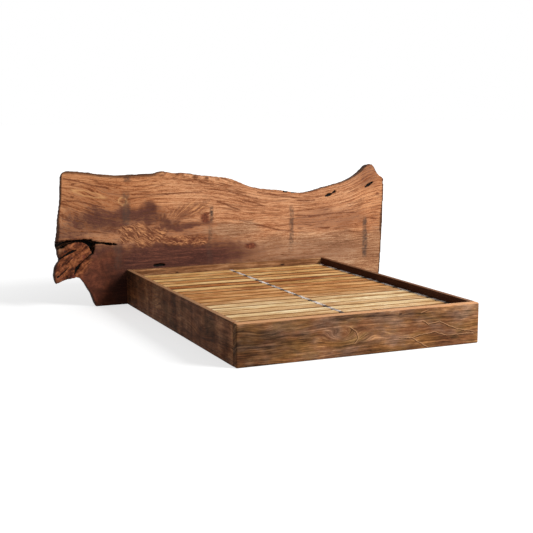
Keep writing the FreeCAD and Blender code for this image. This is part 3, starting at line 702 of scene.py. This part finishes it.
def headboard():
    """The slab with its natural shape, and the masks and grain coordinates that its finish reads."""
    board = remeshed("headboard_slab", "headboard_live_edge", SLAB_VOXEL)
    mesh = board.data
    places = vertex_rows(mesh, "co")
    normals = vertex_rows(mesh, "normal")
    flat = places[:, [0, 2]]
    facing = smooth(-normals[:, 1], 0.5, 0.9)
    rim = smooth(np.abs(normals[:, 1]), 0.92, 0.45) * smooth(places[:, 2], *ABOVE_FLOOR)
    columns, heights = top_edge(flat)
    below_top = np.interp(flat[:, 0], columns, heights) - flat[:, 1]
    soft_top = np.interp(flat[:, 0], columns, evened(heights, TOP_WINDOW))
    wander = flat + 0.0025 * np.column_stack([ripple(flat, 0.030, 8), ripple(flat, 0.030, 9)])
    frayed = flat + np.column_stack([ripples(flat, FRAYED_ALONG), ripples(flat, FRAYED_UP)])
    burl = smooth(oval(flat, BURL_CENTRE, BURL_REACH, BURL_TILT), 1.12, 0.72)

    shift, knob = worn_edge(places, normals, facing, rim, below_top)
    sunk, hollow = worn_face(places, flat, wander, facing, burl)
    shift[:, 1] += sunk
    inside = smooth(places[:, 1] - SLAB_FACE, 0.006, 0.018) * smooth(normals[:, 1], 0.35, -0.6)
    moved = np.clip(places + shift, [SLAB_LOW.x, -np.inf, 0], SLAB_HIGH)
    mesh.vertices.foreach_set("co", moved.ravel())

    depth = moved[:, 1] - SLAB_FACE
    figure, fan = figure_grain(flat, depth)
    red_rings = [smooth(oval(wander, *knot), 1.25, 0.55) for knot in RED_KNOTS]
    masks = {"heart": heart_mask(flat, frayed, knob), "stain": stick_mask(flat, frayed), "burl": burl,
             "hollow": np.maximum(hollow, inside * (1 - rim)), "fan": fan, "eyes": eye_mask(flat),
             "rim": dark_rim_mask(rim, moved, flat, below_top), "knots": np.max(red_rings, axis=0),
             "marks": np.max([carved(wander, line) for line in GRAIN_MARKS], axis=0),
             **region_masks(flat, frayed)}
    for name, values in masks.items():
        mesh.attributes.new(name, "FLOAT", "POINT").data.foreach_set("value", values.astype(np.float32))
    for name, values in (("grain", board_grain(flat, depth, soft_top)), ("figure", figure)):
        layer = mesh.attributes.new(name, "FLOAT_VECTOR", "POINT")
        layer.data.foreach_set("vector", values.astype(np.float32).ravel())
    mesh.shade_smooth()
    mesh.materials.clear()
    mesh.materials.append(slab_wood())
    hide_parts("headboard_slab")
    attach(board, "bed_frame")


def sapwood(shader, grain, tone, specks):
    """Pale wood with dark veins, dashes, bold marks and pores, greyer and warmer in parts."""
    colour = shader.ramp(tone, [(0.0, srgb(104, 56, 31)), (0.30, srgb(168, 109, 73)),
                                (0.60, srgb(201, 144, 103)), (1.0, srgb(220, 167, 125))])
    veins = shader.veins(shader.stretched(grain, (1.5, 27, 20), 2.5, 0.55), 0.034)
    colour = shader.laid(colour, srgb(98, 50, 28), veins, shader.spread(specks, 0.34, 0.56, 0.0, 0.75))
    along, across, through = grain
    apart = (along, across, shader.total(through, 7.0))
    dashes = shader.stretched(apart, (9.0, 125, 60), 2.0, 0.5)
    colour = shader.blend(shader.spread(dashes, 0.61, 0.70, 0.0, 0.80), colour, srgb(104, 54, 31))
    bold = shader.spread(specks, 0.30, 0.52, 0.35, 0.85)
    colour = shader.laid(colour, srgb(100, 52, 32), shader.mask("marks"), bold)
    pores = shader.spread(shader.noise(shader.place(), 85.0, 2.0, 0.5), 0.60, 0.70, 0.0, 0.50)
    colour = shader.laid(colour, srgb(112, 60, 40), shader.mask("porous"), pores)
    weathered = shader.ramp(tone, [(0.0, srgb(92, 60, 42)), (0.5, srgb(149, 107, 78)),
                                   (1.0, srgb(212, 174, 138))])
    colour = shader.laid(colour, weathered, shader.mask("grey"), 0.75)
    colour = shader.laid(colour, srgb(222, 172, 122), shader.mask("eyes"), 0.85)
    return shader.blend(shader.mask("warm"), colour, (1.0, 0.91, 0.80, 1.0), "MULTIPLY")


def heartwood(shader, tone, swirl):
    """Dark wood, russet at the lower left."""
    colour = shader.ramp(tone, [(0.0, srgb(50, 28, 25)), (0.5, srgb(80, 48, 41)), (1.0, srgb(122, 75, 58))])
    swung = shader.total(shader.centred(swirl, 1.5), shader.centred(tone, 0.35), 0.5)
    russet = shader.ramp(swung, [(0.0, srgb(46, 23, 17)), (0.5, srgb(94, 51, 37)), (1.0, srgb(142, 80, 56))])
    return shader.blend(shader.mask("russet"), colour, russet)


def figured(shader, colour, swirl):
    """A colour with the crotch figure, the red knots, the stick marks and the burl laid over it."""
    figure = shader.axes(shader.attribute("figure").outputs["Vector"])
    strands = shader.stretched(figure, (1.5, 30, 20), 5.0, 0.7)
    hairs = shader.stretched(figure, (3.4, 105, 60), 4.0, 0.7)
    flame = shader.ramp(shader.total(shader.centred(strands, 1.2), shader.centred(hairs, 3.3), 0.5),
                        [(0.12, srgb(82, 44, 31)), (0.50, srgb(120, 70, 48)), (0.86, srgb(212, 151, 102))])
    colour = shader.laid(colour, flame, shader.mask("fan"), 0.85)
    rings = shader.ramp(shader.noise(shader.place(), 60.0, 4.0, 0.7),
                        [(0.35, srgb(62, 28, 22)), (0.55, srgb(112, 58, 40)), (0.70, srgb(168, 100, 66))])
    colour = shader.laid(colour, rings, shader.mask("knots"), 0.9)
    blotch = shader.spread(shader.noise(shader.place(), 55.0, 3.0, 0.7), 0.22, 0.60)
    colour = shader.laid(colour, srgb(78, 62, 54), shader.mask("stain"), blotch)
    knotty = shader.ramp(shader.total(shader.centred(strands, 2.4), shader.centred(swirl, 1.6), 0.5),
                         [(0.08, srgb(36, 17, 11)), (0.42, srgb(104, 54, 32)), (0.92, srgb(184, 112, 70))])
    reddened = shader.spread(shader.noise(shader.place(), 11.0, 3.0, 0.6), 0.50, 0.66, 0.0, 0.6)
    knotty = shader.blend(reddened, knotty, srgb(104, 48, 42))
    return shader.blend(shader.mask("burl"), colour, knotty)


def slab_wood():
    """The slab's finish: sapwood and heartwood with their figure, then a painted shadow, the dark rim, and
    painted shade in the cracks.
    """
    shader = Shader("headboard_wood")
    grain = shader.axes(shader.attribute("grain").outputs["Vector"])
    bands = shader.stretched(grain, (1.6, 42, 20), 5.0, 0.70)
    lines = shader.stretched(grain, (8.0, 115, 60), 4.0, 0.70)
    specks = shader.stretched(grain, (34, 230, 200), 3.0, 0.65)
    clouds = shader.stretched(grain, (2.2, 7.0, 4), 3.0, 0.6)
    dots = shader.stretched(grain, (120, 150, 120), 2.0, 0.6)
    swirl = shader.noise(shader.place(), 26.0, 5.0, 0.7)
    swing = shader.total(shader.centred(bands, 1.4), shader.centred(lines, 1.7),
                         shader.centred(specks, 1.2), shader.centred(dots, 0.9))
    tone = shader.total(swing, shader.centred(clouds, 0.8), 0.52)
    heart = shader.mask("heart")
    jagged = shader.total(heart, shader.times(swing, shader.spread(heart, 0.0, 0.4)))
    colour = shader.blend(shader.spread(jagged, 0.05, 0.95), sapwood(shader, grain, tone, specks),
                          heartwood(shader, tone, swirl))
    colour = figured(shader, colour, swirl)
    # Painted shadow: the lower left of the slab is darkened where the left rail shades it.
    colour = shader.blend(shader.mask("shade"), colour, (0.36, 0.31, 0.28, 1.0), "MULTIPLY")
    # Bark colour on the rim, and the same dark colour in bands along the ends and the top of the face.
    bark = shader.ramp(swirl, [(0.3, srgb(16, 9, 7)), (0.7, srgb(50, 29, 20))])
    colour = shader.laid(colour, bark, shader.mask("rim"), 0.9)
    # Painted shade: cracks, cuts and the walls behind the face are darkened almost to black.
    colour = shader.blend(shader.spread(shader.mask("hollow"), 0.10, 0.6), colour, srgb(12, 8, 6))
    height = shader.total(shader.times(lines, 0.6), shader.times(specks, 0.4))
    return shader.finish(Base_Color=colour, Roughness=shader.spread(tone, 0.0, 1.0, 0.72, 0.56),
                         Specular_IOR_Level=0.08, Normal=shader.bump(height, 0.18, 0.002))


# Woven tapes that tie the slats into a roll
TAPE_WIDTH = 0.025
TAPE_THICKNESS = 0.0016
TAPE_DIP = 0.0035
TAPE_STEP = 0.003
# The tape's cross section, as shares of its width and thickness.
TAPE_SECTION = [(-0.5, 0.25), (-0.44, 0.0), (0.0, 0.0), (0.44, 0.0), (0.5, 0.25),
                (0.5, 0.75), (0.44, 1.0), (0.0, 1.0), (-0.44, 1.0), (-0.5, 0.75)]
# How strong the painted shade on the tapes is over the gaps between slats, one gap after another.
GAP_SHADOWS = (0.2, 1.0, 0.5, 1.0, 0.1, 0.9, 0.3, 1.0)
# Distances from the middle of a gap at which the painted shade starts and is complete.
GAP_SHADOW_REACH = (0.042, 0.024)


def over_gaps(along):
    """How far a tape sags at each place along it, as a share of its dip, and how much painted shade it takes.
    """
    sag = np.zeros(len(along))
    gap_shadow = np.zeros(len(along))
    edges = sorted((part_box(name)[0].y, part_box(name)[1].y) for name in SLAT_NAMES)
    for order, ((_, gap_start), (gap_end, _)) in enumerate(zip(edges[:-1], edges[1:])):
        share = np.clip((along - gap_start) / (gap_end - gap_start), 0, 1)
        sag = np.maximum(sag, np.sin(share * math.pi) ** 2)
        away = np.abs(along - (gap_start + gap_end) / 2)
        gap_shadow = np.maximum(gap_shadow, smooth(away, *GAP_SHADOW_REACH) * GAP_SHADOWS[order % len(GAP_SHADOWS)])
    return sag, gap_shadow


def strip_mesh(name, sections):
    """A closed strip through rings of points, one ring after another."""
    ring = len(sections[0])
    faces = []
    for row in range(len(sections) - 1):
        for corner in range(ring):
            following = (corner + 1) % ring
            faces.append((row * ring + corner, row * ring + following,
                          (row + 1) * ring + following, (row + 1) * ring + corner))
    last = (len(sections) - 1) * ring
    faces.append(tuple(reversed(range(ring))))
    faces.append(tuple(last + corner for corner in range(ring)))
    mesh = bpy.data.meshes.new(name)
    mesh.from_pydata([point for section in sections for point in section], [], faces)
    mesh.shade_smooth()
    outward = bmesh.new()
    outward.from_mesh(mesh)
    bmesh.ops.recalc_face_normals(outward, faces=outward.faces)
    outward.to_mesh(mesh)
    outward.free()
    return mesh


def tape(node):
    """A strip of webbing that lies on the slats and sags a little between them."""
    low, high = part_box(node)
    along = np.arange(low.y, high.y + TAPE_STEP / 2, TAPE_STEP)
    along[-1] = high.y
    sag, gap_shadow = over_gaps(along)
    middle = (low.x + high.x) / 2
    sections = []
    for y, dip in zip(along, sag * TAPE_DIP):
        sections.append([(middle + across * TAPE_WIDTH, y, low.z + up * TAPE_THICKNESS - dip)
                         for across, up in TAPE_SECTION])
    mesh = strip_mesh(node + "_webbing", sections)
    shades = np.repeat(gap_shadow, len(TAPE_SECTION)).astype(np.float32)
    mesh.attributes.new("gap_shadow", "FLOAT", "POINT").data.foreach_set("value", shades)
    strip = placed(node + "_webbing", mesh)
    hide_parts(node)
    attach(strip, "slat_roll")
    return strip


def webbing():
    shader = Shader("cotton_webbing")

    def ribs(direction, scale, distortion):
        inputs = {"Vector": shader.place(), "Scale": scale, "Distortion": distortion}
        return shader.node("ShaderNodeTexWave", inputs, bands_direction=direction).outputs["Fac"]

    weave = shader.times(ribs("Y", 170.0, 1.5), ribs("X", 120.0, 1.0))
    cloud = shader.noise(shader.place(), 12.0, 4.0, 0.7)
    tone = shader.total(shader.times(weave, 0.45), shader.times(cloud, 0.55))
    colour = shader.ramp(tone, [(0.18, srgb(172, 150, 132)), (0.42, srgb(222, 210, 204)),
                                (0.70, srgb(250, 246, 244))])
    # Painted shade: the tape is darkened almost to black over the gaps between slats.
    sunk = shader.spread(shader.mask("gap_shadow"), 0.1, 0.8, 0.0, 0.92)
    colour = shader.blend(sunk, colour, srgb(44, 32, 24))
    return shader.finish(Base_Color=colour, Roughness=0.9, Specular_IOR_Level=0.1,
                         Normal=shader.bump(weave, 0.5, 0.0006))


# Camera, lights and floor
CAMERA_PLACE = Vector((-3.0035, -6.4805, 1.4735))
CAMERA_YAW = math.radians(23.8388)
CAMERA_PITCH = math.radians(8.7513)
CAMERA_LENS = 72.24
SENSOR_WIDTH = 36.0
KEY_PLACE = Vector((4.6, -5.4, 4.9))
KEY_TARGET = Vector((0.0, 0.2, 0.3))
KEY_SIZE = 3.6
KEY_POWER = 820
FILL_LEVEL = 0.34
FLOOR_REACH = 60
# Distances from the middle of the floor between which its glow grows, from the first level to the second.
GLOW_REACH = (1.6, 5.0)
GLOW_LEVELS = (0.66, 1.0)


def camera():
    lens = bpy.data.cameras.new("camera")
    lens.lens = CAMERA_LENS
    lens.sensor_width = SENSOR_WIDTH
    holder = placed("camera", lens)
    holder.location = CAMERA_PLACE
    holder.rotation_euler = (math.pi / 2 - CAMERA_PITCH, 0, -CAMERA_YAW)
    bpy.context.scene.camera = holder


def key_light():
    lamp = bpy.data.lights.new("key", "AREA")
    lamp.shape = "DISK"
    lamp.size = KEY_SIZE
    lamp.energy = KEY_POWER
    holder = placed("key", lamp)
    holder.location = KEY_PLACE
    holder.rotation_euler = (KEY_TARGET - KEY_PLACE).to_track_quat("-Z", "Y").to_euler()


def seen_directly(tree):
    """1 for rays that show the background: straight from the camera, mirrored or passed through."""
    path = tree.nodes.new("ShaderNodeLightPath")
    rays = [path.outputs[name] for name in ("Is Camera Ray", "Is Glossy Ray", "Is Transmission Ray")]
    total = rays[0]
    for ray in rays[1:]:
        larger = tree.nodes.new("ShaderNodeMath")
        larger.operation = "MAXIMUM"
        tree.links.new(total, larger.inputs[0])
        tree.links.new(ray, larger.inputs[1])
        total = larger.outputs[0]
    return total


def world():
    sky = bpy.data.worlds.new("studio")
    sky.use_nodes = True
    bpy.context.scene.world = sky
    tree = sky.node_tree
    background = tree.nodes["Background"]
    background.inputs[0].default_value = (1, 1, 1, 1)
    level = tree.nodes.new("ShaderNodeMapRange")
    tree.links.new(seen_directly(tree), level.inputs[0])
    level.inputs[3].default_value = FILL_LEVEL
    level.inputs[4].default_value = 1.0
    tree.links.new(level.outputs[0], background.inputs[1])


def studio_floor():
    """A white floor that glows where it is seen, most of all far away, so that only its shadow shows.

    Under the bed it doesn't glow, so the gaps between the slats stay dark."""
    mesh = bpy.data.meshes.new("floor")
    low, high = -FLOOR_REACH, FLOOR_REACH
    corners = [(low, low, 0), (high, low, 0), (high, high, 0), (low, high, 0)]
    mesh.from_pydata(corners, [], [(0, 1, 2, 3)])
    floor = placed("floor", mesh)
    shader = Shader("white_floor")
    distance = shader.length(shader.place())
    x, y, _ = shader.axes(shader.place())
    half_width, half_length = NODES["foot_rail"].dimensions.x / 2, -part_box("foot_rail")[0].y
    outside = shader.math("MAXIMUM", shader.math("DIVIDE", shader.math("ABSOLUTE", x), half_width),
                          shader.math("DIVIDE", shader.math("ABSOLUTE", y), half_length))
    level = shader.times(shader.spread(distance, *GLOW_REACH, *GLOW_LEVELS),
                         shader.spread(outside, 0.94, 0.99))
    glow = shader.times(level, seen_directly(shader.tree))
    shader.finish(Base_Color=(0.5, 0.5, 0.5, 1.0), Roughness=0.9, Specular_IOR_Level=0.0,
                  Emission_Color=(1, 1, 1, 1), Emission_Strength=glow)
    floor.data.materials.append(shader.material)


# Tones of the woods, from dark to pale
RAIL_TONES = [srgb(58, 33, 18), srgb(112, 73, 45), srgb(144, 99, 65), srgb(200, 154, 112)]
DARK_RAIL_TONES = [srgb(42, 21, 11), srgb(92, 53, 30), srgb(124, 76, 45), srgb(176, 124, 82)]
FOOT_TONES = [srgb(56, 30, 17), srgb(109, 67, 41), srgb(138, 90, 58), srgb(194, 145, 102)]
FRAMING_TONES = [srgb(150, 112, 70), srgb(180, 142, 95), srgb(198, 162, 113), srgb(220, 190, 146)]
PALE_SLAT = [(158, 108, 60), (222, 188, 134), (240, 212, 162), (254, 243, 210)]
GOLDEN_SLAT = [(152, 96, 42), (224, 178, 112), (244, 203, 136), (254, 234, 182)]
GOLDEN_SLATS = 11
BROWN_SLAT = [(88, 36, 14), (160, 94, 48), (198, 132, 76), (238, 186, 126)]
# How brown each slat is, from the headboard to the foot.
SLAT_SHADES = [0.10, 0.55, 0.10, 0.65, 0.20, 1.00, 0.20, 0.88, 0.74, 0.80,
               0.66, 0.55, 0.18, 0.05, 0.30, 0.08, 0.32, 0.10, 0.55]
# How dark the painted shade is on the sides of each slat, which face the gaps between the slats.
SIDE_SHADOWS = [0.30, 0.50, 0.85, 0.40, 0.90, 1.00, 0.55, 0.60, 0.25, 0.40,
               0.30, 0.40, 0.30, 0.15, 0.45, 0.20, 0.45, 0.25, 0.45]
PALE_SIDE, DARK_SIDE = (176, 122, 66), (44, 24, 13)
SOFT_CORNER = 0.002

# Loops, knots, splits, faces and tints of the rails, in the form that timber asks for
FOOT_LOOPS = [(-0.150, 0.122, 0.042, 0.046, 0.0), (0.075, 0.130, 0.036, -0.024, 0.15),
              (0.247, 0.227, 0.010, 0.012, 0.9), (-0.640, 0.195, 0.035, 0.02, 0.5)]
FOOT_SPLITS = [
    [(0.403, 0.171), (0.444, 0.146), (0.520, 0.157), (0.590, 0.125), (0.645, 0.102), (0.771, 0.073)],
    [(0.242, 0.078), (0.336, 0.072), (0.381, 0.084), (0.491, 0.094), (0.574, 0.066), (0.698, 0.066),
     (0.766, 0.063)],
    [(0.336, 0.066), (0.438, 0.008)],
    [(0.397, 0.222), (0.437, 0.232)],
    [(-0.092, 0.172), (-0.052, 0.144), (-0.038, 0.107), (-0.060, 0.082)],
]
# Painted light: the foot rail's top is lighter.
FOOT_FACES = [(2, 1, srgb(208, 154, 110), 0.85)]
FOOT_TINTS = [srgb(126, 96, 58), srgb(124, 96, 78), srgb(150, 100, 52)]
# Two dark spots on the head rail, painted shade where the slats meet it, given as loops without lift.
HEAD_RAIL_SHADOWS = [(0.438, 0.222, 0.014, 0.0, 0.95), (-0.429, 0.216, 0.010, 0.0, 0.85)]
LEFT_LOOPS = [(-0.55, 0.11, 0.060, 0.05, 0.1), (0.25, 0.16, 0.050, -0.04, 0.0)]
# Painted highlight: the left rail's top is lighter.
LEFT_FACES = [(2, 1, srgb(172, 128, 92), 0.75)]
LEFT_TINTS = [srgb(96, 60, 40), srgb(104, 72, 48)]
# Painted shade on the right rail's inner face, towards the bed, and a darker colour on its top.
RIGHT_FACES = [(0, -1, srgb(58, 27, 17), 0.9), (2, 1, srgb(110, 72, 50), 0.6)]


def between(first, second, share):
    """A colour on the way from one to another."""
    return srgb(*[a + (b - a) * share for a, b in zip(first, second)])


def slat_tones(order):
    """A slat's four tones, between the palest and the brownest slats. Those near the head are golden."""
    palest = GOLDEN_SLAT if order < GOLDEN_SLATS else PALE_SLAT
    return [between(pale, brown, SLAT_SHADES[order]) for pale, brown in zip(palest, BROWN_SLAT)]


def dress_rails():
    foot_wood = timber("foot_rail_wood", "X", FOOT_TONES, 1, figure=0.88, loops=FOOT_LOOPS,
                       bands_per_metre=54, blotches=0.9, patches=1.0, faces=FOOT_FACES, darker=(-0.35, -0.85),
                       splits=FOOT_SPLITS, tints=FOOT_TINTS)
    dress(["foot_rail"], foot_wood)
    wear_corners("foot_rail")
    head_wood = timber("head_rail_wood", "X", RAIL_TONES, 2, loops=HEAD_RAIL_SHADOWS, bands_per_metre=58)
    dress(["head_rail"], head_wood)
    left_wood = timber("left_rail_wood", "Y", DARK_RAIL_TONES, 3, figure=0.50, loops=LEFT_LOOPS,
                       bands_per_metre=44, blotches=0.9, patches=1.1, faces=LEFT_FACES, darker=(0.45, 1.0),
                       tints=LEFT_TINTS, bars=1.2)
    dress(["left_side_rail"], left_wood, SOFT_CORNER)
    right_wood = timber("right_rail_wood", "Y", RAIL_TONES, 4, bands_per_metre=58, faces=RIGHT_FACES)
    dress(["right_side_rail"], right_wood, SOFT_CORNER)


def dress_slats():
    for order, name in enumerate(SLAT_NAMES):
        # Painted shade on the sides of each slat, in the gaps between slats.
        sides = (1, 0, between(PALE_SIDE, DARK_SIDE, SIDE_SHADOWS[order]), 0.9)
        wood_name = f"slat_wood_{order + 1:02d}"
        wood = timber(wood_name, "X", slat_tones(order), order + 10, figure=1.4, faces=[sides])
        dress([name], wood)


def dress_inner_parts():
    """The framing, fasteners and feet under the slats."""
    framing = [name for name in NODES
               if name.endswith(("ledger", "post", "beam")) or name.startswith("centre_leg")]
    dress(framing, timber("framing_wood", "Y", FRAMING_TONES, 40, figure=0.6), SOFT_CORNER)
    fittings = [name for name in NODES if name.endswith("saddle") or name.startswith("levelling_stud")]
    dress(STEEL_NODES + fittings, steel())
    dress(["tape_tacks"], blued_steel())
    dress([name for name in NODES if name.startswith("levelling_pad")], pad_plastic())


camera()
world()
studio_floor()
key_light()
bpy.context.scene.view_settings.view_transform = "Standard"
dress_rails()
dress_slats()
headboard()
cloth = webbing()
for name in ("left_tape", "centre_tape", "right_tape"):
    tape(name).data.materials.append(cloth)
dress_inner_parts()
